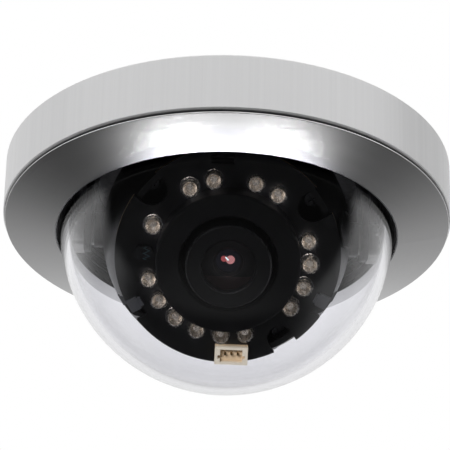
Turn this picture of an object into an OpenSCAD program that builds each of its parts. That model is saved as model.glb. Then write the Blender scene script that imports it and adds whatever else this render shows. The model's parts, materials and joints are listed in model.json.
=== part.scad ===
// Ceiling dome camera: a round surface housing with a turned trim ring, a clear dome and a
// pan and tilt camera eyeball with a ring of infrared lamps.
// The origin is the centre of the mounting face. +Z points into the ceiling, and the dome
// hangs down towards -Z. At rest the camera looks towards -Y and down.

/* [Housing] */
// Outer diameter of the housing
housing_d = 128; // [126:0.5:130]
// Height of the housing's side wall, from the ceiling down
housing_h = 17; // [16.5:0.5:18]
// Thickness of the housing's side wall
wall_t = 3; // [2.5:0.1:3.2]
// Thickness of the housing's back plate
back_t = 2.8; // [2:0.2:3]
// Pitch circle diameter of the ceiling screw holes
ceiling_pcd = 108; // [106:1:110]
// Diameter of the ceiling screw holes
ceiling_hole_d = 4.5; // [4:0.5:5]

/* [Cover] */
// Height of the dark seal line between the housing and the trim ring
seam_h = 0.9; // [0.6:0.1:1.2]
// Height of the trim ring's face, from its outer edge to its opening
trim_drop = 3.5; // [3:0.1:4]
// Diameter of the trim ring's opening
opening_d = 96.8; // [96.6:0.1:97.4]
// Outer diameter of the clear dome
dome_d = 95.4; // [95:0.1:95.6]
// Wall thickness of the clear dome
dome_t = 2.5; // [2:0.1:2.5]
// Depth of the dome's centre below the mounting face
dome_depth = 18.5; // [18:0.1:19]

/* [Camera] */
// Angle of the lens below the horizontal at rest
look_down = 46.4; // [40:0.2:60]
// Depth of the tilt axis below the mounting face
pivot_depth = 20.5; // [20:0.5:21]
// Outer radius of the camera's ball shaped shell
ball_r = 35.4; // [35.2:0.1:35.6]
// Distance from the tilt axis to the lamp board's face
board_face = 19.6; // [19.4:0.1:20]
// Outer diameter of the light shield round the lens
shield_d = 39.9; // [39.4:0.1:40]
// Outer diameter of the focus ring
focus_d = 23.7; // [23.4:0.1:24]

/* [Lamps] */
// Radius of the circle that the lamps stand on
lamp_ring_r = 22.7; // [22.7:0.1:22.9]
// Angle between neighbouring lamps
lamp_pitch = 17.4; // [17:0.1:17.6]
// Diameter of a lamp
lamp_d = 5; // [4.8:0.1:5]
// Height of a lamp above the board
lamp_h = 4.2; // [4:0.1:4.6]

/* [Hidden] */
$fn = 96;
eps = 0.05;

// Lamps in groups: the angle of the first one, and how many follow it clockwise
LAMP_GROUPS = [[119.9, 2], [72.9, 2], [14.8, 4], [-75.2, 6], [157.9, 1]];
LAMPS = [for (g = LAMP_GROUPS) for (i = [0:g[1] - 1]) g[0] - i * lamp_pitch];

function two_digits(i) = str(i < 9 ? "0" : "", i + 1);
function lamp_name(i) = str("ir_lamp_", two_digits(i));

// Housing
housing_r = housing_d / 2;
wall_in_r = housing_r - wall_t;
edge = 0.6;
ceiling_r = ceiling_pcd / 2;
inlet_r = 6;
grommet_bore_r = 3.5;
grommet_lip_r = 8;
grommet_lip_t = 1;

// Trim ring and the parts that it carries
seam_z = -housing_h - seam_h;
trim_r = housing_r - 0.5;
trim_rim = 0.3;
opening_r = opening_d / 2;
trim_bottom = seam_z - trim_rim - trim_drop;
skirt_r = wall_in_r - 0.4;
skirt_t = 2.6;
skirt_top = -9;
seat_z = seam_z - 1.4;
seat_r = 54.3;
dome_r = dome_d / 2;
dome_in_r = dome_r - dome_t;
flange_r = 54;
gasket_t = 1;
flange_z = seat_z + gasket_t;
flange_t = 2.5;
flange_top = flange_z + flange_t;
clamp_t = 1.4;
clamp_in_r = dome_in_r + 0.2;
clamp_screw_r = 56.1;
o_ring_z = -12.5;
o_ring_r = 0.9;
groove_t = 1.6;

// Pan bearing
pan_in_r = 37.5;
pan_guide_r = 43.9;
pan_out_r = 48.6;
yoke_ring_r = 43.5;
yoke_top = -6.5;
yoke_t = 1.5;
pan_floor = yoke_top + 0.2;
retainer_z = yoke_top - yoke_t - 0.3;
retainer_t = 1.2;
retainer_in_r = 42.4;
retainer_screw_r = 46.4;

// Tilt bearing
pivot_z = -pivot_depth;
ear_x = 38.4;
ear_t = 2;
ear_w = 11;
block_t = 3;
block_w = 7.2;
block_h = 10;
pin_r = 1.5;
pin_clear = 0.06;
boss_r = 5;
boss_end = 37.6;

// Camera shell, along the lens axis from the tilt axis
shell_t = 1.5;
board_t = 1.5;
board_back = board_face - board_t;
board_r = 31.2;
board_hole_r = 13.2;
shell_back = -8;
frame_t = 2;
roof_z = -3.3;
steepest = 38;
post_r = 3.2;
// The three screw wells in the board: angle, distance from the lens axis, half of the
// width, and height of the screw post behind the well
WELLS = [[140.1, 28.4, 4.3, 10.5], [33.7, 27.4, 4.3, 10.5], [-56.2, 28.3, 3.6, 13.5]];
// The board's two clips: angle, and the side that the board is cut away on
CLIPS = [[-149.5, 1], [-24, -1]];
clip_w = 3.6;
clip_in_r = 27.9;
clip_t = 3;
clip_foot = 9.2;
notch_w = 4.4;
// Beside the lowest screw the shell has a flat, level with the board's edge
relief_low = -1.6;
relief_wall = 1;
socket_size = [9.2, 5, 2.6];
socket_centre = [2.2, -28.3];
socket_wall = 0.7;
socket_side = 1.5;
socket_floor = 1;
// Key slots in the side walls: depth, height across, and distance from the lower edge
socket_key = [0.7, 1, 1.6];
socket_pitch = 1.8;
sensor_angle = 178.5;
sensor_r = 23.2;

// Lens
shield_in_r = 13.3;
shield_face = 26.4;
focus_r = focus_d / 2;
focus_face = 29;
hood_r = 7.4;
hood_floor = 26.2;
barrel_r = 9;
barrel_front = 24.6;
lens_seat = 24.1;
lens_back = 24.4;
lens_crown = 26.6;
lens_radius = 20;
stop_r = 3.2;
ring_gap = 0.1;
zoom_z = [9.6, 15.1];
focus_z = 15.6;
holder_w = 22;
sensor_z = -7.4;
sensor_t = 1.4;

// Liner and boards in the housing
liner_z = -12.6;
liner_t = 1.2;
liner_r = 57.4;
liner_in_r = 44.6;
liner_post_r = 53;
LINER_ANGLES = [90, 210, 330];
bay_board_z = -6;
bay_board_t = 1.6;
bay_in_r = 50;
bay_out_r = 59.5;
bay_half_angle = 24;
bay_screw_r = 55;
bay_screw_angle = 18;

// ---- shared shapes ----

module ring(r_out, r_in, z0, z1) {
    translate([0, 0, z0]) difference() {
        cylinder(r = r_out, h = z1 - z0);
        translate([0, 0, -eps]) cylinder(r = r_in, h = z1 - z0 + 2 * eps);
    }
}

module rod(r, z0, z1) { translate([0, 0, z0]) cylinder(r = r, h = z1 - z0); }

// The lens axis is local +Z from the tilt axis, and local +Y is up in the camera's view
module on_camera() { translate([0, 0, pivot_z]) rotate([90 + look_down, 0, 0]) children(); }

module polar(angle, r) { rotate([0, 0, angle]) translate([r, 0, 0]) children(); }

// A cross head screw that points down: its head sits above z = 0 and its shank below
module screw_down(head_r, head_h, shank_r, length) {
    difference() {
        union() {
            cylinder(r1 = head_r, r2 = head_r * 0.8, h = head_h);
            translate([0, 0, -length]) cylinder(r = shank_r, h = length + eps);
        }
        for (a = [0, 90])
            rotate([0, 0, a]) translate([-head_r * 0.6, -0.2, head_h * 0.4])
                cube([head_r * 1.2, 0.4, head_h]);
    }
}

// The same screw with its head below and its shank reaching up
module screw_up(head_r, head_h, shank_r, length) {
    rotate([180, 0, 0]) screw_down(head_r, head_h, shank_r, length);
}

module sector(r_out, r_in, half_angle, z0, z1) {
    reach = r_out * 1.5;
    intersection() {
        ring(r_out, r_in, z0, z1);
        translate([0, 0, z0 - eps]) linear_extrude(z1 - z0 + 2 * eps)
            polygon([[0, 0],
                     [reach * cos(half_angle), -reach * sin(half_angle)],
                     [reach, 0],
                     [reach * cos(half_angle), reach * sin(half_angle)]]);
    }
}

// Removes what would meet the housing's back plate when the camera tilts up to its stop
module under_roof() {
    span = 4 * ball_r;
    difference() {
        children();
        rotate([-90 - steepest, 0, 0]) translate([-span / 2, -span / 2, roof_z - pivot_z])
            cube([span, span, span]);
    }
}

// ---- housing ----

module base_housing() {
    color("silver") difference() {
        union() {
            rotate_extrude() polygon([
                [0, 0], [housing_r - edge, 0], [housing_r, -edge], [housing_r, -housing_h + 0.3],
                [housing_r - 0.3, -housing_h], [wall_in_r, -housing_h], [wall_in_r, -back_t],
                [0, -back_t]]);
            for (a = LINER_ANGLES)
                polar(a, liner_post_r) rod(2.8, liner_z + liner_t, -back_t + eps);
            for (side = [0, 180]) for (a = [-1, 1])
                rotate([0, 0, side]) polar(a * bay_screw_angle, bay_screw_r)
                    rod(2, bay_board_z + bay_board_t, -back_t + eps);
        }
        rod(inlet_r, -back_t - eps, eps);
        for (a = [45:90:315])
            polar(a, ceiling_r) rod(ceiling_hole_d / 2, -back_t - eps, eps);
        for (a = LINER_ANGLES)
            polar(a, liner_post_r) rod(0.85, liner_z + liner_t - eps, -back_t - 4);
        for (side = [0, 180]) for (a = [-1, 1])
            rotate([0, 0, side]) polar(a * bay_screw_angle, bay_screw_r)
                rod(0.85, bay_board_z + bay_board_t - eps, -1.2);
        for (a = [30, 150, 270])
            polar(a, retainer_screw_r) rod(0.95, -back_t - eps, -1);
        translate([0, wall_in_r - 1, -13]) rotate([-90, 0, 0]) cylinder(r = 1.5, h = wall_t + 2);
    }
}

module cable_grommet() {
    color("black") rotate_extrude() polygon([
        [grommet_bore_r, 0], [inlet_r, 0], [inlet_r, -back_t], [grommet_lip_r, -back_t],
        [grommet_lip_r, -back_t - 0.5], [grommet_lip_r - 0.5, -back_t - grommet_lip_t],
        [grommet_bore_r, -back_t - grommet_lip_t]]);
}

module pan_base() {
    color("dimgray") difference() {
        union() {
            ring(pan_out_r, pan_in_r, pan_floor, -back_t);
            ring(pan_out_r, pan_guide_r, retainer_z, pan_floor + eps);
        }
        for (a = [30, 150, 270])
            polar(a, retainer_screw_r) rod(1.1, retainer_z - eps, -back_t + eps);
    }
}

module pan_retainer() {
    color("black") difference() {
        ring(pan_out_r, retainer_in_r, retainer_z - retainer_t, retainer_z);
        for (a = [30, 150, 270])
            polar(a, retainer_screw_r) rod(1.1, retainer_z - retainer_t - eps, retainer_z + eps);
    }
}

module retainer_screws() {
    color("lightgray") for (a = [30, 150, 270])
        polar(a, retainer_screw_r) translate([0, 0, retainer_z - retainer_t])
            screw_up(1.9, 1.3, 0.9, 8.2);
}

module bay_board() {
    difference() {
        sector(bay_out_r, bay_in_r, bay_half_angle, bay_board_z, bay_board_z + bay_board_t);
        for (a = [-1, 1])
            polar(a * bay_screw_angle, bay_screw_r)
                rod(1, bay_board_z - eps, bay_board_z + bay_board_t + eps);
    }
}

module bay_boards() {
    color("green") for (side = [0, 180]) rotate([0, 0, side]) bay_board();
}

// Capacitors and a regulator on the right board, a chip and resistors on the left one
module bay_parts() {
    color("dimgray") {
        for (a = [-9, 9])
            polar(a, 54.5) rod(2.6, bay_board_z - 4.6, bay_board_z);
        polar(0, 54) translate([-2.6, -2.6, bay_board_z - 3]) cube([5.2, 5.2, 3]);
        rotate([0, 0, 180]) {
            polar(8, 55) translate([-3, -3, bay_board_z - 1.2]) cube([6, 6, 1.2]);
            for (i = [0:3])
                polar(-1 - 2.4 * i, 52.4) translate([-0.6, -0.4, bay_board_z - 0.6])
                    cube([1.2, 0.8, 0.6]);
        }
    }
}

module power_socket() {
    color("ivory") rotate([0, 0, 180]) polar(-8, 55.2) difference() {
        translate([-1.9, -4, bay_board_z - 4]) cube([3.8, 8, 4]);
        translate([-1.1, -3.2, bay_board_z - 4 - eps]) cube([2.2, 6.4, 3]);
    }
}

// Four screws hold the boards, and three hold the liner
module bay_screws() {
    color("lightgray") {
        for (side = [0, 180]) for (a = [-1, 1])
            rotate([0, 0, side]) polar(a * bay_screw_angle, bay_screw_r)
                translate([0, 0, bay_board_z]) screw_up(1.9, 1.2, 0.8, 4.4);
        for (a = LINER_ANGLES)
            polar(a, liner_post_r) translate([0, 0, liner_z]) screw_up(1.9, 1.2, 0.8, 4.4);
    }
}

module inner_liner() {
    color([0.08, 0.08, 0.08]) difference() {
        union() {
            ring(liner_r, liner_in_r, liner_z, liner_z + liner_t);
            ring(liner_in_r + 1.2, liner_in_r, liner_z - 1.2, liner_z + eps);
        }
        for (a = LINER_ANGLES)
            polar(a, liner_post_r) rod(1, liner_z - eps, liner_z + liner_t + eps);
        for (a = [45:90:315])
            polar(a, ceiling_r) rod(4.6, liner_z - eps, liner_z + liner_t + eps);
    }
}

module lock_screw() {
    color("lightgray") translate([0, wall_in_r, -13]) rotate([-90, 0, 0]) difference() {
        cylinder(r = 1.45, h = wall_t - 0.4);
        translate([0, 0, wall_t - 1.8]) cylinder(r = 0.85, h = 2, $fn = 6);
    }
}

// ---- cover ----

module trim_ring() {
    color("gainsboro") difference() {
        rotate_extrude() polygon([
            [opening_r, seat_z], [opening_r, trim_bottom + 0.25], [opening_r + 0.3, trim_bottom],
            [opening_r + 0.6, trim_bottom - 0.02],
            [trim_r - 0.15, seam_z - trim_rim], [trim_r, seam_z - trim_rim + 0.12],
            [trim_r, seam_z], [skirt_r, seam_z], [skirt_r, o_ring_z - o_ring_r],
            [skirt_r - groove_t, o_ring_z - o_ring_r], [skirt_r - groove_t, o_ring_z + o_ring_r],
            [skirt_r, o_ring_z + o_ring_r], [skirt_r, skirt_top], [skirt_r - skirt_t, skirt_top],
            [skirt_r - skirt_t, flange_top], [seat_r, flange_top], [seat_r, seat_z]]);
        for (a = [15:60:315])
            polar(a, clamp_screw_r) rod(1.05, flange_top - 3.2, flange_top + eps);
    }
}

module housing_seal() {
    color("black") ring(trim_r - 0.7, skirt_r + 0.1, seam_z, -housing_h);
}

module cover_o_ring() {
    color("black") rotate_extrude() translate([wall_in_r - 0.12 - o_ring_r, o_ring_z])
        circle(r = o_ring_r - 0.02, $fn = 32);
}

module dome_cover() {
    color([0.9, 0.92, 0.97, 0.35]) translate([0, 0, -dome_depth]) difference() {
        union() {
            intersection() {
                sphere(r = dome_r);
                rod(dome_r + 1, -dome_r - 1, 0);
            }
            rod(dome_r, -eps, flange_top + dome_depth);
            rod(flange_r, flange_z + dome_depth, flange_top + dome_depth);
        }
        intersection() {
            sphere(r = dome_in_r);
            rod(dome_r + 1, -dome_r - 1, eps);
        }
        rod(dome_in_r, 0, flange_top + dome_depth + eps);
    }
}

module dome_gasket() {
    color("black") rotate_extrude() polygon([
        [dome_r + 0.04, flange_z], [dome_r + 0.04, trim_bottom + 0.9],
        [opening_r - 0.04, trim_bottom + 0.7], [opening_r - 0.04, seat_z],
        [flange_r - 0.2, seat_z], [flange_r - 0.2, flange_z]]);
}

module clamp_ring() {
    color("silver") difference() {
        ring(skirt_r - skirt_t - 0.1, clamp_in_r, flange_top, flange_top + clamp_t);
        for (a = [15:60:315])
            polar(a, clamp_screw_r) rod(1.15, flange_top - eps, flange_top + clamp_t + eps);
    }
}

module clamp_screws() {
    color("lightgray") for (a = [15:60:315])
        polar(a, clamp_screw_r) translate([0, 0, flange_top + clamp_t])
            screw_down(1.7, 1.1, 1, 4.2);
}

// ---- pan carriage ----

module yoke_ear() {
    ear_low = pivot_z - 6.5;
    translate([ear_x, 0, 0]) difference() {
        union() {
            translate([0, -ear_w / 2, ear_low + ear_w / 2])
                cube([ear_t, ear_w, yoke_top - ear_low - ear_w / 2]);
            translate([0, 0, ear_low + ear_w / 2]) rotate([0, 90, 0])
                cylinder(r = ear_w / 2, h = ear_t);
        }
        translate([-eps, 0, pivot_z]) rotate([0, 90, 0]) cylinder(r = pin_r, h = ear_t + 2 * eps);
    }
}

module pan_yoke() {
    color("silver") {
        ring(yoke_ring_r, pan_in_r, yoke_top - yoke_t, yoke_top);
        for (m = [0, 1]) mirror([m, 0, 0]) yoke_ear();
    }
}

module pivot_block() {
    block_low = pivot_z - block_h / 2 - 1.2;
    translate([ear_x + ear_t, 0, 0]) difference() {
        hull() for (y = [-1, 1]) for (z = [block_low + 1, block_low + block_h - 1])
            translate([0, y * (block_w / 2 - 1), z]) rotate([0, 90, 0])
                cylinder(r = 1, h = block_t, $fn = 32);
        translate([-eps, 0, pivot_z]) rotate([0, 90, 0]) cylinder(r = pin_r, h = 2);
        translate([block_t - 0.8, -block_w, pivot_z - 0.4]) cube([block_t, 2 * block_w, 0.8]);
    }
}

module pivot_blocks() {
    color("gainsboro") for (m = [0, 1]) mirror([m, 0, 0]) pivot_block();
}

module pivot_pins() {
    pin_start = 33.2;
    color("lightgray") for (m = [0, 1]) mirror([m, 0, 0])
        translate([pin_start, 0, pivot_z]) rotate([0, 90, 0])
            cylinder(r = pin_r, h = ear_x + ear_t + 1.9 - pin_start);
}

module friction_washers() {
    color("gray") for (m = [0, 1]) mirror([m, 0, 0])
        translate([boss_end + 0.1, 0, pivot_z]) rotate([0, 90, 0])
            ring(4.4, pin_r + 0.1, 0, ear_x - boss_end - 0.1);
}

// ---- camera eyeball ----

module shell_post(well) {
    polar(well[0], well[1]) {
        rod(post_r, frame_t, well[3]);
        translate([2, -1.25, frame_t])
            cube([ball_r - shell_t / 2 - well[1] - 2.6, 2.5, well[3] - frame_t]);
    }
}

// The room for the flat beside the lowest screw, grown on every side but the top
module shell_relief(grown, top) {
    well = WELLS[2];
    polar(well[0], board_r - grown) translate([0, -well[2] - grown, relief_low - grown])
        cube([9, 2 * (well[2] + grown), top - relief_low + grown]);
}

// The gap for a clip, wider on one side, from a radius outwards
module clip_slot(clip, r, z0, z1) {
    low = clip[1] > 0 ? -clip_w / 2 - 0.2 : -notch_w;
    polar(clip[0], r) translate([0, low, z0]) cube([9, notch_w + clip_w / 2 + 0.2, z1 - z0]);
}

module ball_shell() {
    color([0.06, 0.06, 0.06]) on_camera() under_roof() difference() {
        union() {
            intersection() {
                difference() {
                    sphere(r = ball_r);
                    sphere(r = ball_r - shell_t);
                }
                rod(ball_r + 1, shell_back, board_back);
            }
            intersection() {
                sphere(r = ball_r - shell_t / 2);
                union() {
                    for (w = WELLS) shell_post(w);
                    shell_relief(relief_wall, WELLS[2][3]);
                }
            }
            for (m = [0, 1]) mirror([m, 0, 0]) translate([32.6, 0, 0]) rotate([0, 90, 0])
                cylinder(r = boss_r, h = boss_end - 32.6);
        }
        for (w = WELLS)
            polar(w[0], w[1]) rod(1.3, frame_t - eps, w[3] + eps);
        for (m = [0, 1]) mirror([m, 0, 0]) translate([30, 0, 0]) rotate([0, 90, 0])
            cylinder(r = pin_r + pin_clear, h = 10);
        for (c = CLIPS)
            clip_slot(c, clip_in_r - 0.2, clip_foot - 0.1, board_face);
        shell_relief(0, board_face);
    }
}

module module_frame() {
    rim_r = ball_r - shell_t - 0.7;
    color("dimgray") on_camera() under_roof() difference() {
        rod(rim_r, 0, frame_t);
        translate([-holder_w / 2 - 0.3, -holder_w / 2 - 0.3, -eps])
            cube([holder_w + 0.6, holder_w + 0.6, frame_t + 2 * eps]);
        for (m = [0, 1]) mirror([m, 0, 0]) translate([31.8, -boss_r - 0.4, -eps])
            cube([5, 2 * boss_r + 0.8, frame_t + 2 * eps]);
        for (w = WELLS)
            polar(w[0], w[1]) rod(1.1, -eps, frame_t + eps);
        for (x = [-14, 14])
            translate([x, 0, 0]) rod(0.85, -eps, frame_t + eps);
        for (y = [-17.5, 17.5])
            translate([0, y, 0]) rod(2.6, -eps, frame_t + eps);
        shell_relief(relief_wall + 0.2, board_face);
    }
}

module shell_screws() {
    color("dimgray") on_camera() for (w = WELLS)
        polar(w[0], w[1]) translate([0, 0, w[3]]) screw_down(2.5, 1.8, 1.05, w[3]);
}

module lamp_board() {
    color([0.1, 0.1, 0.1]) on_camera() difference() {
        rod(board_r, board_back, board_face);
        rod(board_hole_r, board_back - eps, board_face + eps);
        // The screw wells open to the board's edge
        for (w = WELLS) polar(w[0], w[1]) {
            rod(w[2], board_back - eps, board_face + eps);
            translate([0, -w[2], board_back - eps]) cube([10, 2 * w[2], board_t + 2 * eps]);
        }
        for (c = CLIPS)
            clip_slot(c, clip_in_r - 0.2, board_back - eps, board_face + eps);
        // Locating notch at the top
        translate([-5.6, 26.5, board_back - eps]) cube([6.1, 8, board_t + 2 * eps]);
    }
}

module board_clips() {
    color("gray") on_camera() for (c = CLIPS) polar(c[0], clip_in_r) {
        translate([0, -clip_w / 2, board_back - 1])
            cube([clip_t, clip_w, board_t + 2]);
        translate([clip_t - 1.6, -clip_w / 2, clip_foot])
            cube([1.6, clip_w, board_back - clip_foot]);
        translate([clip_t - 1.6, -clip_w / 2, clip_foot]) cube([4.8, clip_w, 1.2]);
        translate([-0.9, -clip_w / 2 + 0.5, board_face]) cube([1, clip_w - 1, 0.8]);
    }
}

module lamp_socket() {
    color("ivory") on_camera() translate([socket_centre[0], socket_centre[1], board_face])
        difference() {
            inside = [socket_size[0] - 2 * socket_side, socket_size[1] - 2 * socket_wall, 10];
            keys = [inside[0] + 2 * socket_key[0], socket_key[1], 10];
            translate([-socket_size[0] / 2, -socket_size[1] / 2, 0]) cube(socket_size);
            translate([-inside[0] / 2, -inside[1] / 2, socket_floor]) cube(inside);
            translate([-keys[0] / 2, -socket_size[1] / 2 + socket_key[2], socket_floor]) cube(keys);
        }
}

module lamp_socket_pins() {
    pin_w = 0.5;
    pin_h = 1.4;
    color("gold") on_camera()
        translate([socket_centre[0], socket_centre[1], board_face + socket_floor])
        for (i = [-1:1])
            translate([i * socket_pitch - pin_w / 2, -pin_w / 2 + 0.4, 0])
                cube([pin_w, pin_w, pin_h]);
}

module light_sensor() {
    color("darkslategray") on_camera() polar(sensor_angle, sensor_r) difference() {
        union() {
            rod(2.5, board_face, board_face + 2);
            rod(0.3, board_back - 1.2, board_back);
        }
        translate([-3, 1.9, board_face - eps]) cube([6, 2, 3]);
        translate([-3, -3.9, board_face - eps]) cube([6, 2, 3]);
    }
}

// A thin wire that loops out of the shell beside the board and back in
module lamp_wire() {
    wire_r = 0.45;
    loop_r = 5;
    color("black") on_camera() rotate([0, 70, 12]) translate([0, 0, ball_r + 0.1])
        rotate([0, 0, 30]) rotate_extrude(angle = 300) translate([loop_r, 0])
            circle(r = wire_r, $fn = 24);
}

module light_shield() {
    r = shield_d / 2;
    color([0.05, 0.05, 0.05]) on_camera() rotate_extrude() polygon([
        [shield_in_r, board_face], [r, board_face], [r, shield_face - 0.7],
        [r - 0.2, shield_face - 0.2], [r - 0.7, shield_face], [shield_in_r + 0.5, shield_face],
        [shield_in_r, shield_face - 0.5]]);
}

module ir_lamp(i) {
    r = lamp_d / 2;
    tip = board_face + lamp_h;
    color([0.9, 0.9, 0.95, 0.6]) on_camera() polar(LAMPS[i], lamp_ring_r) {
        intersection() {
            union() {
                rod(r, board_face, tip - r);
                translate([0, 0, tip - r]) sphere(r = r);
            }
            rod(r + 1, board_face, tip + 1);
        }
        difference() {
            rod(r + 0.3, board_face, board_face + 1);
            translate([-r - 2, -5, board_face - eps]) cube([2, 10, 2]);
        }
        for (x = [-1.27, 1.27])
            translate([x, 0, 0]) rod(0.25, board_back - 1.5, board_back);
    }
}

// ---- lens unit ----

module lens_holder() {
    color([0.1, 0.1, 0.1]) on_camera() difference() {
        union() {
            translate([-holder_w / 2, -holder_w / 2, sensor_z + sensor_t])
                cube([holder_w, holder_w, 4 - sensor_z - sensor_t]);
            rod(10.5, 3.9, 9);
            translate([-17, -4, frame_t]) cube([34, 8, 1.6]);
        }
        rod(7.03, -2, 9 + eps);
        translate([-7, -7, sensor_z + sensor_t - eps]) cube([14, 14, 4]);
        for (x = [-14, 14])
            translate([x, 0, 0]) rod(1.1, frame_t - eps, frame_t + 1.7);
    }
}

module holder_screws() {
    color("lightgray") on_camera() for (x = [-14, 14])
        translate([x, 0, frame_t + 1.6]) screw_down(1.8, 1.2, 0.8, 3.6);
}

module sensor_board() {
    board_w = 32;
    board_h = 26;
    color("green") on_camera() difference() {
        translate([-board_w / 2, -board_h / 2, sensor_z]) cube([board_w, board_h, sensor_t]);
        for (x = [-1, 1]) for (y = [-1, 1])
            translate([x * (board_w / 2 - 2), y * (board_h / 2 - 2), 0])
                rod(1, sensor_z - eps, sensor_z + sensor_t + eps);
    }
}

module sensor_parts() {
    color("dimgray") on_camera() {
        translate([-6, -6, sensor_z - 1.2]) cube([9, 9, 1.2]);
        translate([5.5, -5, sensor_z - 2.6]) cube([4, 10, 2.6]);
        for (i = [0:4])
            translate([-12, -7 + 3.2 * i, sensor_z - 0.6]) cube([2, 1.2, 0.6]);
    }
}

module image_sensor() {
    color("slategray") on_camera() translate([-4.8, -3.6, sensor_z + sensor_t]) cube([9.6, 7.2, 1.2]);
}

module ir_cut_filter() {
    color([0.5, 0.8, 0.9, 0.5]) on_camera() translate([-6.9, -6.9, -2.7]) cube([13.8, 13.8, 0.6]);
}

module lens_barrel() {
    color([0.08, 0.08, 0.08]) on_camera() rotate_extrude() polygon([
        [5.5, -2], [7, -2], [7, 9], [barrel_r, 9], [barrel_r, barrel_front], [8.2, barrel_front],
        [8.2, lens_seat], [stop_r + 0.9, lens_seat], [stop_r + 0.8, lens_seat - 0.3],
        [stop_r, lens_seat - 0.8], [stop_r, lens_seat - 1], [5.5, lens_seat - 1.5]]);
}

module lens_retainer() {
    color([0.05, 0.05, 0.05]) on_camera() rotate_extrude() polygon([
        [8.3, barrel_front], [8.9, barrel_front], [8.9, hood_floor - 0.3],
        [7.6, hood_floor - 0.3], [7.6, hood_floor - 0.7], [8.3, hood_floor - 0.9]]);
}

module front_lens() {
    color([0.3, 0.1, 0.15, 0.6]) on_camera() intersection() {
        rod(8.1, lens_back, lens_crown);
        translate([0, 0, lens_crown - lens_radius]) sphere(r = lens_radius);
    }
}

module rear_lens() {
    color([0.3, 0.3, 0.4, 0.6]) on_camera() intersection() {
        rod(5.4, 17.5, 22);
        translate([0, 0, 10.5]) sphere(r = 11.5);
    }
}

// The zoom lever screws into a hole in the side of its ring
module lever_place() {
    rotate([0, 0, 230]) translate([focus_r - 0.8, 0, (zoom_z[0] + zoom_z[1]) / 2])
        rotate([0, 90, 0]) children();
}

module zoom_ring() {
    color([0.07, 0.07, 0.07]) on_camera() difference() {
        ring(focus_r, barrel_r + ring_gap, zoom_z[0], zoom_z[1]);
        for (a = [0:15:345])
            polar(a, focus_r) rod(0.45, zoom_z[0] - eps, zoom_z[1] + eps);
        lever_place() cylinder(r = 0.95, h = 4);
    }
}

module zoom_lever() {
    color("silver") on_camera() lever_place() {
        cylinder(r = 0.9, h = 4);
        translate([0, 0, 4]) cylinder(r = 1.6, h = 2.4);
    }
}

module focus_ring() {
    color([0.05, 0.05, 0.05]) on_camera() difference() {
        rotate_extrude() polygon([
            [barrel_r + ring_gap, focus_z], [focus_r, focus_z], [focus_r, focus_face - 0.4],
            [focus_r - 0.4, focus_face], [hood_r + 0.4, focus_face], [hood_r, focus_face - 0.4],
            [hood_r, hood_floor], [barrel_r + ring_gap, hood_floor]]);
        for (a = [0:15:345])
            polar(a, focus_r + 0.1) rod(0.5, focus_z - eps, focus_z + 3);
    }
}

base_housing();
cable_grommet();
pan_base();
pan_retainer();
retainer_screws();
bay_boards();
bay_parts();
power_socket();
bay_screws();
inner_liner();
lock_screw();
trim_ring();
housing_seal();
cover_o_ring();
dome_cover();
dome_gasket();
clamp_ring();
clamp_screws();
pan_yoke();
pivot_blocks();
pivot_pins();
friction_washers();
ball_shell();
module_frame();
shell_screws();
lamp_board();
board_clips();
lamp_socket();
lamp_socket_pins();
light_sensor();
lamp_wire();
light_shield();
lens_holder();
holder_screws();
sensor_board();
sensor_parts();
image_sensor();
ir_cut_filter();
lens_barrel();
lens_retainer();
front_lens();
rear_lens();
zoom_ring();
zoom_lever();
focus_ring();
for (i = [0:len(LAMPS) - 1])
    ir_lamp(i);
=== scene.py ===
"""Looks of the ceiling dome camera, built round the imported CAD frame, in metres."""
import json
import math

import bpy
from mathutils import Matrix, Vector


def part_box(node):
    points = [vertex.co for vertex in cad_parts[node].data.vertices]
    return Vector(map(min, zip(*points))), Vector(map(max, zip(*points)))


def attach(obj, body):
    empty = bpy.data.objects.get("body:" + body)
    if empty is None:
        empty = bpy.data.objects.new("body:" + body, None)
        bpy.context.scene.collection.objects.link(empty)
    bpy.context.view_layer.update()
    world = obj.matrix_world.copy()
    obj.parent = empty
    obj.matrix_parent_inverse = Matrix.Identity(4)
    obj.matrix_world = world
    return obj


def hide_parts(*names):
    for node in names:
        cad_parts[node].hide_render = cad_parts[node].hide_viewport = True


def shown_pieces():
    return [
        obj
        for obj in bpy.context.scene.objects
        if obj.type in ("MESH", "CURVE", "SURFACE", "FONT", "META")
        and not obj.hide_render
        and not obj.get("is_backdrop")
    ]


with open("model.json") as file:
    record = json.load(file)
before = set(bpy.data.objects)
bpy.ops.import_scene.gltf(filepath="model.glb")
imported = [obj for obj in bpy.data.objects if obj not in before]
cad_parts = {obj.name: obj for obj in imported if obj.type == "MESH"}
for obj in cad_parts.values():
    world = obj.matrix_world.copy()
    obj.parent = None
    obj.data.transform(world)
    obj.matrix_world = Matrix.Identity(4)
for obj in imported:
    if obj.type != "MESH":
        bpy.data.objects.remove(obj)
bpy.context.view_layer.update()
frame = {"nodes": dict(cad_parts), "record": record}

MM = 0.001
NODES = frame["nodes"]
JOINTS = {j["name"]: j for j in frame["record"]["behaviour"]["joints"]}
LAMPS = sorted(name for name in NODES if name.startswith("ir_lamp_"))


def matrix_from_axes(x, y, z, place):
    """A matrix whose columns are the three axes, at a place."""
    m = Matrix((x, y, z)).transposed().to_4x4()
    m.translation = place
    return m


# The camera module's own frame: origin on the tilt axis, Z along the lens axis, Y up in its view
PIVOT = Vector(JOINTS["tilt"]["pos_m"])
LENS_AXIS = Vector(JOINTS["focus_turn"]["axis"]).normalized()
TILT_AXIS = Vector((1, 0, 0))
MODULE = matrix_from_axes(TILT_AXIS, LENS_AXIS.cross(TILT_AXIS), LENS_AXIS, PIVOT)
MODULE_TURN = MODULE.to_euler()


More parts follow.
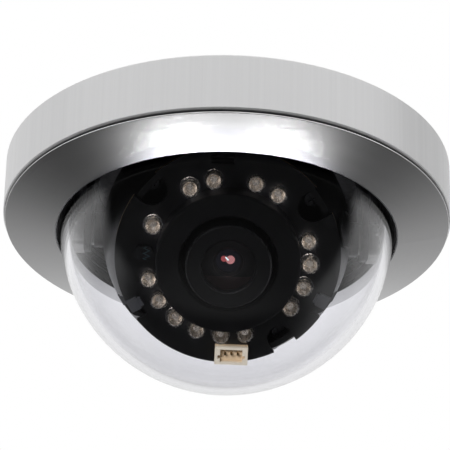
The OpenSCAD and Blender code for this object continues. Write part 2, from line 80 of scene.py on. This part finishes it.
def module_box(node):
    """A CAD node's lowest and highest corners in the camera module's frame, in metres."""
    inside = MODULE.inverted()
    points = [inside @ v.co for v in NODES[node].data.vertices]
    return (Vector([min(p[i] for p in points) for i in range(3)]),
            Vector([max(p[i] for p in points) for i in range(3)]))


# ---------------------------------------------------------------- camera

AIM = Vector((-0.5, 0, -17.3)) * MM
VIEW_DISTANCE = 800 * MM
VIEW_BELOW = math.radians(30.04)
VIEW_ROLL = math.radians(1.25)
VIEW_SIDE = Matrix.Rotation(math.radians(-2.1), 3, "Z")
SENSOR = 36
LENS = 220.9


def add_camera():
    aim = VIEW_SIDE @ AIM
    place = VIEW_SIDE @ Vector((0, -math.cos(VIEW_BELOW), -math.sin(VIEW_BELOW))) * VIEW_DISTANCE
    forward = (aim - place).normalized()
    level = forward.cross(Vector((0, 0, 1))).normalized()
    up = level.cross(forward)
    right = level * math.cos(VIEW_ROLL) + up * math.sin(VIEW_ROLL)
    data = bpy.data.cameras.new("camera")
    data.sensor_width = SENSOR
    data.lens = LENS
    camera = bpy.data.objects.new("camera", data)
    bpy.context.collection.objects.link(camera)
    camera.matrix_world = matrix_from_axes(right, right.cross(forward), -forward, place)
    bpy.context.scene.camera = camera


# ---------------------------------------------------------------- material nodes

class Graph:
    """A material's or world's node tree, with one short call per node."""

    def __init__(self, name, kind="material"):
        self.data = (bpy.data.worlds if kind == "world" else bpy.data.materials).new(name)
        self.data.use_nodes = True
        self.tree = self.data.node_tree
        self.tree.nodes.clear()
        self.output = self.tree.nodes.new("ShaderNodeOutput" + kind.title())

    def node(self, kind, inputs=(), **settings):
        made = self.tree.nodes.new(kind)
        for key, value in settings.items():
            setattr(made, key, value)
        for key, value in dict(inputs).items():
            self.put(made.inputs[key], value)
        return made

    def put(self, socket, value):
        if isinstance(value, bpy.types.NodeSocket):
            self.tree.links.new(value, socket)
        elif isinstance(value, bpy.types.Node):
            self.tree.links.new(value.outputs[0], socket)
        elif socket.type == "RGBA" and len(value) == 3:
            socket.default_value = (*value, 1)
        else:
            socket.default_value = value

    def math(self, operation, a, b=0.0):
        return self.node("ShaderNodeMath", {0: a, 1: b}, operation=operation).outputs[0]

    def place(self, in_module=False, centre=(0, 0, 0)):
        """The object's own coordinates, or the camera module's, from a centre in the same frame."""
        place = self.node("ShaderNodeTexCoord").outputs["Object"]
        if in_module:
            place = self.node("ShaderNodeMapping", {
                "Vector": place, "Location": PIVOT, "Rotation": MODULE_TURN},
                vector_type="TEXTURE").outputs[0]
        return self.node("ShaderNodeVectorMath", {0: place, 1: centre}, operation="SUBTRACT").outputs[0]

    def noise(self, vector, scale, detail=3.0, roughness=0.5):
        return self.node("ShaderNodeTexNoise", {
            "Vector": vector, "Scale": scale, "Detail": detail, "Roughness": roughness}).outputs["Fac"]

    def ramp(self, fac, stops):
        made = self.node("ShaderNodeValToRGB", {"Fac": fac})
        elements = made.color_ramp.elements
        while len(elements) < len(stops):
            elements.new(0.5)
        for element, (at, colour) in zip(elements, stops):
            element.position = at
            element.color = (*colour, 1) if hasattr(colour, "__len__") else (colour,) * 3 + (1,)
        return made.outputs["Color"]

    def span(self, value, low, high, to_low, to_high):
        return self.node("ShaderNodeMapRange", {
            "Value": value, "From Min": low, "From Max": high,
            "To Min": to_low, "To Max": to_high}).outputs["Result"]

    def mix(self, fac, a, b):
        made = self.node("ShaderNodeMix", data_type="RGBA")
        self.put(made.inputs["Factor"], fac)
        self.put(made.inputs["A"], a)
        self.put(made.inputs["B"], b)
        return made.outputs["Result"]

    def bump(self, height, distance, strength=1.0):
        return self.node("ShaderNodeBump", {
            "Height": height, "Distance": distance, "Strength": strength}).outputs[0]

    def split(self, vector):
        return self.node("ShaderNodeSeparateXYZ", {0: vector}).outputs

    def join(self, x, y, z):
        return self.node("ShaderNodeCombineXYZ", {"X": x, "Y": y, "Z": z}).outputs[0]

    def polar(self, vector):
        """Radius, angle and height round the vector's Z axis."""
        parts = self.split(vector)
        angle = self.math("ARCTAN2", parts["Y"], parts["X"])
        flat = self.join(parts["X"], parts["Y"], 0.0)
        radius = self.node("ShaderNodeVectorMath", {0: flat}, operation="LENGTH").outputs["Value"]
        return radius, angle, parts["Z"]

    def surface(self, **inputs):
        return self.node("ShaderNodeBsdfPrincipled",
                         {key.replace("_", " "): value for key, value in inputs.items()})

    def finish(self, shader):
        self.tree.links.new(shader.outputs[0], self.output.inputs["Surface"])
        return self.data

    def finish_clear(self, glass, tint):
        """Glass that lamps shine through: shadow rays pass, tinted."""
        clear = self.node("ShaderNodeBsdfTransparent", {"Color": tint})
        path = self.node("ShaderNodeLightPath")
        return self.finish(self.node("ShaderNodeMixShader", {
            0: path.outputs["Is Shadow Ray"], 1: glass.outputs[0], 2: clear.outputs[0]}))


# ---------------------------------------------------------------- materials

HOUSING_INSIDE_R = 63.2 * MM
HOUSING_BACK_Z = -0.4 * MM


def housing_metal():
    """Satin silver with faint vertical streaks, and darker inside."""
    g = Graph("housing_metal")
    radius, angle, height = g.polar(g.place())
    stretched = g.join(g.math("MULTIPLY", angle, 34), g.math("MULTIPLY", height, 4), 0.3)
    streaks = g.noise(stretched, 1.0, 4, 0.65)
    grain = g.noise(g.place(), 2600, 2)
    wall = g.ramp(streaks, [(0.3, (0.68, 0.68, 0.685)), (0.7, (0.74, 0.74, 0.745))])
    inside_tone = g.ramp(g.noise(g.place(), 900, 4), [(0.3, (0.20, 0.20, 0.21)), (0.7, (0.30, 0.30, 0.31))])
    inside = g.math("MULTIPLY", g.math("LESS_THAN", radius, HOUSING_INSIDE_R),
                    g.math("LESS_THAN", height, HOUSING_BACK_Z))
    rough = g.span(streaks, 0.2, 0.8, 0.36, 0.46)
    normal = g.bump(g.math("ADD", grain, g.math("MULTIPLY", streaks, 0.6)), 0.00002, 0.5)
    return g.finish(g.surface(Base_Color=g.mix(inside, wall, inside_tone), Metallic=0.55,
                              Roughness=rough, Normal=normal))


TRIM_BORE_R = 49.0 * MM


def trim_metal():
    """Turned and brushed: fine rings round the axis, which draw the highlight into a fan."""
    g = Graph("trim_metal")
    radius, angle, height = g.polar(g.place())
    rings = g.noise(g.join(g.math("MULTIPLY", radius, 9000), g.math("MULTIPLY", angle, 1.3),
                           g.math("MULTIPLY", height, 2000)), 1.0, 3, 0.6)
    broad = g.noise(g.join(g.math("MULTIPLY", radius, 700), g.math("MULTIPLY", angle, 2.2), 0.0),
                    1.0, 2)
    turned = g.ramp(rings, [(0.3, (0.70, 0.70, 0.705)), (0.7, (0.80, 0.80, 0.805))])
    colour = g.mix(g.math("MULTIPLY", broad, 0.5), turned, (0.75, 0.75, 0.755))
    # The bore is painted near black: painted shade for the dark gap between the trim and the dome.
    colour = g.mix(g.math("LESS_THAN", radius, TRIM_BORE_R), colour, (0.02, 0.02, 0.021))
    tangent = g.node("ShaderNodeTangent", direction_type="RADIAL", axis="Z").outputs[0]
    return g.finish(g.surface(Base_Color=colour, Metallic=1.0,
                              Roughness=g.span(rings, 0.2, 0.8, 0.16, 0.20), Anisotropic=1.0,
                              Tangent=tangent, Normal=g.bump(rings, 0.000002, 0.05)))


def clear_dome():
    """Clear polycarbonate."""
    g = Graph("clear_dome")
    tint = g.ramp(g.noise(g.place(), 60, 2), [(0.3, (0.955, 0.956, 0.985)), (0.7, (0.965, 0.966, 0.99))])
    glass = g.surface(Base_Color=tint, Roughness=0.0, IOR=1.5, Transmission_Weight=1.0)
    return g.finish_clear(glass, (0.95, 0.95, 0.97))


GRAIN_DEPTH = 0.02 * MM


def moulded(name, colour, rough=0.5, grain=1500):
    """A moulded or coated surface with a fine grain and slightly uneven gloss."""
    g = Graph(name)
    fine = g.noise(g.place(), grain, 3)
    broad = g.noise(g.place(), grain / 40, 2)
    darker = tuple(c * 0.8 for c in colour)
    lighter = tuple(min(1, c * 1.15) for c in colour)
    tone = g.ramp(broad, [(0.35, darker), (0.65, lighter)])
    roughness = g.span(fine, 0.2, 0.8, rough - 0.05, rough + 0.07)
    return g.finish(g.surface(Base_Color=tone, Roughness=roughness,
                              Normal=g.bump(fine, GRAIN_DEPTH, 0.6)))


def metal(name, colour, rough):
    """Plated metal with small crystal spots."""
    g = Graph(name)
    fine = g.noise(g.place(), 2500, 3)
    spots = g.node("ShaderNodeTexVoronoi", {"Vector": g.place(), "Scale": 700.0}).outputs["Color"]
    fac = g.node("ShaderNodeSeparateColor", {0: spots}).outputs[0]
    tone = g.mix(fac, tuple(c * 0.85 for c in colour), colour)
    return g.finish(g.surface(Base_Color=tone, Metallic=1.0, Normal=g.bump(fine, 0.00001, 0.5),
                              Roughness=g.span(fine, 0.2, 0.8, rough - 0.06, rough + 0.1)))


def clear_glass(name, tint):
    """Polished glass or clear epoxy."""
    g = Graph(name)
    paler = tuple(min(1, c * 1.02) for c in tint)
    tone = g.ramp(g.noise(g.place(), 300, 2), [(0.3, tint), (0.7, paler)])
    glass = g.surface(Base_Color=tone, Roughness=0.0, IOR=1.5, Transmission_Weight=1.0)
    return g.finish_clear(glass, (0.9, 0.9, 0.9))


def board_black():
    """Matt black solder mask on the face, and the laminate's tan edge."""
    g = Graph("black_board")
    radius, _, height = g.polar(g.place(in_module=True))
    _, high = module_box("lamp_board")
    at_edge = g.math("GREATER_THAN", radius, high.x - 0.06 * MM)
    below_face = g.math("LESS_THAN", height, high.z - 0.15 * MM)
    fine = g.noise(g.place(), 1200, 3)
    mask = g.ramp(g.noise(g.place(), 40, 2), [
        (0.35, (0.014, 0.014, 0.015)), (0.65, (0.018, 0.018, 0.019))])
    colour = g.mix(g.math("MULTIPLY", at_edge, below_face), mask, (0.52, 0.40, 0.25))
    return g.finish(g.surface(Base_Color=colour, Roughness=g.span(fine, 0.2, 0.8, 0.5, 0.6),
                              Normal=g.bump(fine, 0.00001, 0.4)))


# Below this height in the module's frame, the lens rings carry a painted reflection: a warm crescent.
PAINTED_REFLECTION_Y = -4.0 * MM
PAINTED_REFLECTION_BLUR = 0.1 * MM


def turned_black(name, painted_reflection=(0.016, 0.016, 0.017)):
    """Black anodised lens metal, with turned rings round the lens axis. Its low part can carry a warm
    painted reflection.
    """
    g = Graph(name)
    radius, angle, height = g.polar(g.place(in_module=True))
    rings = g.noise(g.join(g.math("MULTIPLY", radius, 6000), angle, g.math("MULTIPLY", height, 3000)),
                    1.0, 2)
    black = g.ramp(rings, [(0.3, (0.013, 0.013, 0.014)), (0.7, (0.019, 0.019, 0.020))])
    up = g.split(g.place(in_module=True))["Y"]
    # Painted reflection: the ring's low part takes the warm colour.
    in_painted_reflection = g.span(up, PAINTED_REFLECTION_Y + PAINTED_REFLECTION_BLUR, PAINTED_REFLECTION_Y - PAINTED_REFLECTION_BLUR, 0.0, 1.0)
    colour = g.mix(in_painted_reflection, black, painted_reflection)
    return g.finish(g.surface(Base_Color=colour, Roughness=g.span(rings, 0.2, 0.8, 0.34, 0.46),
                              Normal=g.bump(rings, 0.00002, 0.4)))


def socket_cream():
    """Cream nylon, with painted shade that turns it tan down in the pin cavity."""
    g = Graph("cream_plastic")
    _, high = module_box("lamp_socket")
    height = g.split(g.place(in_module=True))["Z"]
    # Painted shade: the colour darkens to tan towards the cavity's floor.
    depth = g.span(height, high.z - 3.2 * MM, high.z - 0.2 * MM, 0.0, 1.0)
    colour = g.ramp(depth, [
        (0.0, (0.50, 0.33, 0.17)), (0.55, (0.66, 0.51, 0.33)), (0.95, (0.86, 0.78, 0.62))])
    fine = g.noise(g.place(), 1500, 3)
    return g.finish(g.surface(Base_Color=colour, Roughness=g.span(fine, 0.2, 0.8, 0.4, 0.52),
                              Normal=g.bump(fine, 0.00002, 0.5)))


def photocell():
    """A dark disc with a dull teal zigzag track on its right half."""
    g = Graph("sensor_dark")
    low, high = module_box("light_sensor")
    centre = ((low.x + high.x) / 2, (low.y + high.y) / 2, 0)
    parts = g.split(g.place(in_module=True, centre=centre))
    wave = g.math("PINGPONG", g.math("MULTIPLY", parts["Y"], 1300), 1.0)
    swing = g.span(wave, 0, 1, -0.1 * MM, 1.5 * MM)
    off = g.math("ABSOLUTE", g.math("SUBTRACT", parts["X"], swing))
    on_top = g.math("GREATER_THAN", parts["Z"], high.z - 0.1 * MM)
    track = g.math("MULTIPLY", g.math("LESS_THAN", off, 0.35 * MM), on_top)
    epoxy = g.ramp(g.noise(g.place(), 600, 2), [
        (0.3, (0.016, 0.018, 0.020)), (0.7, (0.028, 0.030, 0.034))])
    return g.finish(g.surface(Base_Color=g.mix(track, epoxy, (0.08, 0.15, 0.17)),
                              Roughness=0.22, Coat_Weight=0.4))


# Each painted reflection off the coatings, a red disc on the inner element: place across and up, radius
# (in mm), and colour
PAINTED_REFLECTION_DISCS = [(-1.0, 0.1, 0.75, (0.42, 0.09, 0.09)), (0.6, -0.1, 1.1, (0.60, 0.26, 0.25))]
# Where the painted glint, a white-cyan streak, lies on the inner element
PAINTED_GLINT_PLACE = (-0.25 * MM, 0.15 * MM, 0)


def coated_glass():
    """The inner element: near black, with painted reflections: the red discs off its coatings with their
    arcs, and a painted glint.
    """
    g = Graph("coated_glass")
    colour = (0.004, 0.004, 0.006)
    for across, up, size, tone in PAINTED_REFLECTION_DISCS:
        at = g.place(in_module=True, centre=(across * MM, up * MM, 0))
        radius, _, _ = g.polar(at)
        disc = g.span(radius, size * 0.9 * MM, size * 1.05 * MM, 1.0, 0.0)
        arcs = g.span(g.math("SINE", g.math("MULTIPLY", radius, 21000)), -1, 1, 0.35, 1.0)
        colour = g.mix(g.math("MULTIPLY", disc, arcs), colour, tone)
    # A painted glint: a white-cyan streak between the red discs.
    at = g.split(g.place(in_module=True, centre=PAINTED_GLINT_PLACE))
    along = g.math("ABSOLUTE", g.math("SUBTRACT", at["Y"], at["X"]))
    across = g.math("ABSOLUTE", g.math("ADD", at["Y"], at["X"]))
    streak = g.math("MULTIPLY", g.math("LESS_THAN", along, 0.8 * MM),
                    g.math("LESS_THAN", across, 0.25 * MM))
    colour = g.mix(streak, colour, (0.75, 0.95, 0.92))
    return g.finish(g.surface(Base_Color=colour, Roughness=0.6, Specular_IOR_Level=0.0))


MATERIALS = {
    "housing_metal": housing_metal(),
    "trim_metal": trim_metal(),
    "clear_dome": clear_dome(),
    "black_rubber": moulded("black_rubber", (0.012, 0.012, 0.013), 0.6),
    "grey_plastic": moulded("grey_plastic", (0.20, 0.205, 0.22), 0.42),
    "black_plastic": moulded("black_plastic", (0.014, 0.014, 0.015), 0.38),
    "green_board": moulded("green_board", (0.01, 0.12, 0.05), 0.3),
    "component_black": moulded("component_black", (0.02, 0.02, 0.021), 0.4),
    "cream_plastic": socket_cream(),
    "gold_pins": metal("gold_pins", (0.50, 0.36, 0.18), 0.25),
    "screw_steel": metal("screw_steel", (0.62, 0.62, 0.61), 0.28),
    "black_screw": metal("black_screw", (0.10, 0.10, 0.105), 0.3),
    "zinc_steel": metal("zinc_steel", (0.66, 0.66, 0.64), 0.38),
    "black_board": board_black(),
    "sensor_dark": photocell(),
    "shield_black": moulded("shield_black", (0.014, 0.014, 0.015), 0.62),
    "sensor_chip": moulded("sensor_chip", (0.07, 0.07, 0.09), 0.2),
    "filter_glass": clear_glass("filter_glass", (0.6, 0.85, 0.9)),
    "lens_black": turned_black("lens_black"),
    "lens_glass": clear_glass("lens_glass", (0.93, 0.90, 0.92)),
    "lamp_epoxy": clear_glass("lamp_epoxy", (0.97, 0.96, 0.95)),
}
COATED_GLASS = coated_glass()
RETAINER_PAINTED_REFLECTION = turned_black("retainer_black", (0.12, 0.075, 0.07))
YOKE_COAT = moulded("yoke_coat", (0.035, 0.035, 0.037), 0.42)

SLOT_OF = {s["node"]: s["material_slot"] for s in frame["record"]["subparts"]}
for node_name, obj in NODES.items():
    obj.data.materials.clear()
    obj.data.materials.append(MATERIALS[SLOT_OF[node_name]])
# The rear lens carries painted reflections and a painted glint.
NODES["rear_lens"].data.materials[0] = COATED_GLASS
NODES["pan_yoke"].data.materials[0] = YOKE_COAT
# The lens retainer and barrel carry the warm painted reflection low down.
for node_name in ("lens_retainer", "lens_barrel"):
    NODES[node_name].data.materials[0] = RETAINER_PAINTED_REFLECTION


# ---------------------------------------------------------------- detailed pieces

SHARP = math.radians(35)


def lathe(name, profile, centre=(0, 0), segments=96):
    """A mesh made by turning (radius, height) points, in mm, round an upright axis at centre."""
    rows, vertices, faces = [], [], []
    for radius, height in profile:
        count = segments if radius > 0 else 1
        rows.append(range(len(vertices), len(vertices) + count))
        for i in range(count):
            turn = 2 * math.pi * i / segments
            vertices.append(Vector((centre[0] + radius * math.cos(turn),
                                    centre[1] + radius * math.sin(turn), height)) * MM)
    for low, high in zip(rows, rows[1:]):
        for i in range(segments):
            j = (i + 1) % segments
            corners = [low[i % len(low)], low[j % len(low)], high[j % len(high)], high[i % len(high)]]
            faces.append(list(dict.fromkeys(corners)))
    mesh = bpy.data.meshes.new(name)
    mesh.from_pydata(vertices, [], faces)
    return mesh


def arc(radius, centre_z, start, end, steps):
    """Profile points on a circle round (0, centre_z). Angles are from the horizontal, in degrees."""
    turns = [math.radians(start + (end - start) * i / steps) for i in range(steps + 1)]
    points = [(radius * math.cos(t), centre_z + radius * math.sin(t)) for t in turns]
    return [(r if r > 1e-6 else 0, z) for r, z in points]


def add_piece(mesh, material, body, replaced=(), in_module=True):
    """Puts a mesh made in the module's frame, or else in the part's own, on its body."""
    if in_module:
        mesh.transform(MODULE)
    mesh.materials.append(material)
    mesh.shade_smooth()
    mesh.set_sharp_from_angle(angle=SHARP)
    obj = bpy.data.objects.new(mesh.name, mesh)
    bpy.context.collection.objects.link(obj)
    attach(obj, body)
    if replaced:
        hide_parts(*replaced)


def join_mesh(name, meshes):
    """One mesh that holds all the given ones."""
    vertices, faces = [], []
    for mesh in meshes:
        start = len(vertices)
        vertices += [v.co.copy() for v in mesh.vertices]
        faces += [[start + i for i in p.vertices] for p in mesh.polygons]
        bpy.data.meshes.remove(mesh)
    joined = bpy.data.meshes.new(name)
    joined.from_pydata(vertices, [], faces)
    return joined


BLOCK_FACES = [(0, 2, 3, 1), (4, 5, 7, 6), (0, 1, 5, 4), (2, 6, 7, 3), (0, 4, 6, 2), (1, 3, 7, 5)]


def block(name, low, high):
    """A box between two corners, in mm."""
    corners = [Vector((x, y, z)) * MM
               for z in (low[2], high[2]) for y in (low[1], high[1]) for x in (low[0], high[0])]
    mesh = bpy.data.meshes.new(name)
    mesh.from_pydata(corners, [], BLOCK_FACES)
    return mesh


# The dome, turned finely so that what is seen through it stays smooth
DOME_R = 47.7
DOME_T = 2.5
FLANGE_T = 2.5


def add_dome():
    low, high = (corner / MM for corner in map(Vector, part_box("dome_cover")))
    centre_z = low.z + DOME_R
    inner = DOME_R - DOME_T
    profile = arc(DOME_R, centre_z, -90, 0, 64)
    flange_low = high.z - FLANGE_T
    profile += [(DOME_R, flange_low), (high.x, flange_low), (high.x, high.z), (inner, high.z)]
    profile += arc(inner, centre_z, 0, -90, 64)
    add_piece(lathe("dome", profile, segments=192), MATERIALS["clear_dome"], "cover",
              ["dome_cover"], in_module=False)


# The front lens: a flat back and a convex face
LENS_FACE_R = 20


def add_front_lens():
    low, high = (corner / MM for corner in module_box("front_lens"))
    centre_z = high.z - LENS_FACE_R
    rim = math.degrees(math.acos(high.x / LENS_FACE_R))
    profile = [(0, low.z), (high.x, low.z)] + arc(LENS_FACE_R, centre_z, rim, 90, 24)
    add_piece(lathe("front_element", profile), MATERIALS["lens_glass"], "camera_module",
              ["front_lens"])


# Inside each lamp, in mm: a reflector cup with its chip, the second lead's post, and the bond wire
# between them. The CUP_, POST_ and WIRE_ depths are below the lamp's tip.
CUP_R = 1.3
CUP_WALL = 0.1
CUP_FLOOR_R = 0.55
CUP_TOP = 2.6
CUP_FLOOR = 3.35
CUP_BASE = 4.0
CHIP_R = 0.22
CHIP_H = 0.15
POST_HALF = 0.35
POST_NEAR = 1.5
POST_FAR = 1.9
POST_TOP = 2.1
WIRE_HALF = 0.05
WIRE_BOTTOM = 2.2
WIRE_END = 1.6


def add_lamp_inside(node, material):
    inside = MODULE.inverted()
    tip = max((inside @ v.co for v in NODES[node].data.vertices), key=lambda p: p.z) / MM
    base, floor = tip.z - CUP_BASE, tip.z - CUP_FLOOR
    top, post_top = tip.z - CUP_TOP, tip.z - POST_TOP
    cup = lathe("cup", [(CUP_R + CUP_WALL, base), (CUP_R + CUP_WALL, top), (CUP_R, top),
                        (CUP_FLOOR_R, floor), (CHIP_R, floor),
                        (CHIP_R, floor + CHIP_H), (0, floor + CHIP_H)],
                centre=(tip.x, tip.y), segments=32)
    post = block("post", (tip.x - POST_HALF, tip.y + POST_NEAR, base),
                 (tip.x + POST_HALF, tip.y + POST_FAR, post_top))
    wire = block("wire", (tip.x - WIRE_HALF, tip.y, tip.z - WIRE_BOTTOM),
                 (tip.x + WIRE_HALF, tip.y + WIRE_END, post_top))
    mesh = join_mesh(node.replace("ir_lamp", "lamp_cup"), [cup, post, wire])
    add_piece(mesh, material, "camera_module")


add_dome()
add_front_lens()
lead_silver = metal("lead_silver", (0.80, 0.73, 0.64), 0.25)
for lamp in LAMPS:
    add_lamp_inside(lamp, lead_silver)


# ---------------------------------------------------------------- lights and stage

FLOOR_DEPTH = 1.2
FLOOR_SIZE = 6


def add_area(name, place, look_at, size, power, lit):
    """A soft box that the camera doesn't see. lit lists the pieces it lights, as flags would do."""
    data = bpy.data.lights.new(name, "AREA")
    data.shape = "RECTANGLE"
    data.size, data.size_y = size
    data.energy = power
    lamp = bpy.data.objects.new(name, data)
    bpy.context.collection.objects.link(lamp)
    place = VIEW_SIDE @ Vector(place)
    lamp.location = place
    lamp.rotation_euler = (Vector(look_at) - place).to_track_quat("-Z", "Y").to_euler()
    lamp.visible_camera = False
    chosen = bpy.data.collections.new(name)
    for piece in lit:
        chosen.objects.link(piece)
    lamp.light_linking.receiver_collection = chosen


def add_world():
    """White behind the object. Reflections see a studio: white above, grey behind and dark in front."""
    g = Graph("studio", "world")
    direction = g.split(g.node("ShaderNodeTexCoord").outputs["Generated"])
    height = g.math("ADD", direction["Z"], g.math("MULTIPLY", direction["X"], 0.1))
    above = g.span(direction["Z"], 0.30, 0.42, 0, 1)
    back = g.ramp(g.span(height, -0.75, 0.25, 0, 1), [
        (0.0, 0.01), (0.09, 0.03), (0.17, 0.11), (0.24, 0.24), (0.31, 0.37),
        (0.38, 0.42), (0.5, 0.42), (0.62, 0.58), (0.75, 0.85)])
    front = g.ramp(g.span(height, -1, 0, 0, 1), [(0.0, 0.10), (0.3, 0.03), (1.0, 0.02)])
    behind = g.span(direction["Y"], -0.03, 0.12, 0, 1)
    flagged = g.math("MULTIPLY", g.span(direction["X"], 0.3, 0.55, 0, 0.38), behind)
    white = g.math("SUBTRACT", g.span(behind, 0, 1, 1.35, 1.0), flagged)
    radiance = g.mix(above, g.mix(behind, front, back), g.join(white, white, white))
    studio = g.node("ShaderNodeBackground", {"Color": radiance})
    backdrop = g.node("ShaderNodeBackground", {"Color": (1.0, 1.0, 1.0)})
    # The camera sees the backdrop, directly or straight through clear pieces. Other bounces don't.
    path = g.node("ShaderNodeLightPath")
    bounces = g.math("ADD", path.outputs["Diffuse Depth"], path.outputs["Glossy Depth"])
    straight = g.math("MULTIPLY", path.outputs["Is Transmission Ray"], g.math("LESS_THAN", bounces, 0.5))
    seen = g.math("MAXIMUM", path.outputs["Is Camera Ray"], straight)
    g.finish(g.node("ShaderNodeMixShader", {0: seen, 1: studio.outputs[0], 2: backdrop.outputs[0]}))
    bpy.context.scene.world = g.data


def add_stage():
    bpy.ops.mesh.primitive_plane_add(size=FLOOR_SIZE, location=(0, 0, -FLOOR_DEPTH))
    floor = bpy.context.object
    floor.name = "floor"
    floor.data.materials.append(moulded("pale_floor", (0.78, 0.78, 0.78), 0.7, 40))
    floor.visible_glossy = False
    floor.visible_transmission = False
    floor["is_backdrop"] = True

    def lit(*words):
        return [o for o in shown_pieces() if o.name.startswith(words)]

    pale = lit("pivot", "board_clips", "friction", "pan_yoke", "shell_screws")
    socket = lit("lamp_socket")
    lamps = lit("ir_lamp", "lamp_cup")
    glow = lit("rear_lens")
    outside = lit("dome", "trim_ring", "base_housing", "front_lens", "front_element")
    black = [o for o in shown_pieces() if o not in pale + socket + lamps + glow + outside]
    ring = (0, 0, -0.02)
    eyeball = (0, 0, -0.04)
    add_area("trim_strip", (0.0, 0.52, -0.73), ring, (0.28, 0.14), 14, lit("trim_ring"))
    add_area("black_key", (-0.5, -1.0, 0.1), eyeball, (0.5, 0.3), 0.35, black)
    add_area("pale_key", (-0.5, -1.0, 0.2), eyeball, (0.5, 0.3), 2.0, pale)
    add_area("socket_key", (-0.4, -1.0, -0.2), eyeball, (0.5, 0.3), 12, socket)
    add_area("lamp_key", (-0.2, -1.0, -0.1), eyeball, (0.9, 0.3), 12, lamps)
    add_area("lamp_low", (0.3, -0.5, -0.9), eyeball, (0.5, 0.3), 2.0, lamps)
    add_area("lens_glow", (0.0, -0.5, -0.5), eyeball, (0.2, 0.2), 8.0, glow)


add_camera()
add_world()
add_stage()
bpy.context.scene.view_settings.view_transform = "Standard"
